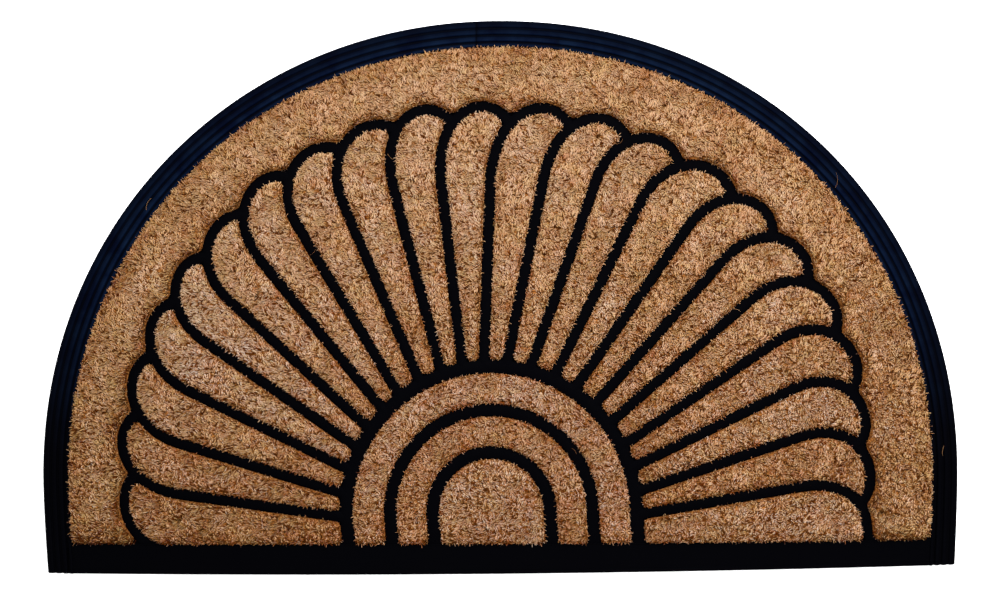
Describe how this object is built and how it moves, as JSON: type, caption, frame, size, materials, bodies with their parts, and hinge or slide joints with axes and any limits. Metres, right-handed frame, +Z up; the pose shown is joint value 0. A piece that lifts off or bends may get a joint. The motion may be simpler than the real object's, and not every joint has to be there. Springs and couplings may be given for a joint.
{
  "type": "half round coir doormat",
  "caption": "Half round doormat: a moulded rubber tray with a ribbed rim and raised lines, holding upright coir pile in a rising sun and petal fan layout.",
  "frame": {"origin": "on the floor, under the middle of the mat's outer box", "axes": "+X along the straight front edge, +Y from the front edge to the top of the arc, +Z up out of the pile"},
  "size_m": [0.75, 0.454, 0.014],
  "materials": {
    "rubber": "matt moulded black vulcanised rubber with a faint blue sheen on the rim's ribs",
    "coir": "cut upright coconut fibre pile, dry and golden tan, with straw, red-brown and dark fibres mixed in"
  },
  "bodies": {
    "root": {"rubber_tray": "rubber", "coir_band": "coir", "coir_petal_01": "coir", "coir_petal_02": "coir", "coir_petal_03": "coir", "coir_petal_04": "coir", "coir_petal_05": "coir", "coir_petal_06": "coir", "coir_petal_07": "coir", "coir_petal_08": "coir", "coir_petal_09": "coir", "coir_petal_10": "coir", "coir_petal_11": "coir", "coir_petal_12": "coir", "coir_petal_13": "coir", "coir_petal_14": "coir", "coir_petal_15": "coir", "coir_petal_16": "coir", "coir_petal_17": "coir", "coir_petal_18": "coir", "coir_petal_19": "coir", "coir_petal_20": "coir", "coir_petal_21": "coir", "coir_petal_22": "coir", "coir_ring_1": "coir", "coir_ring_2": "coir", "coir_core": "coir"}
  },
  "joints": []
}
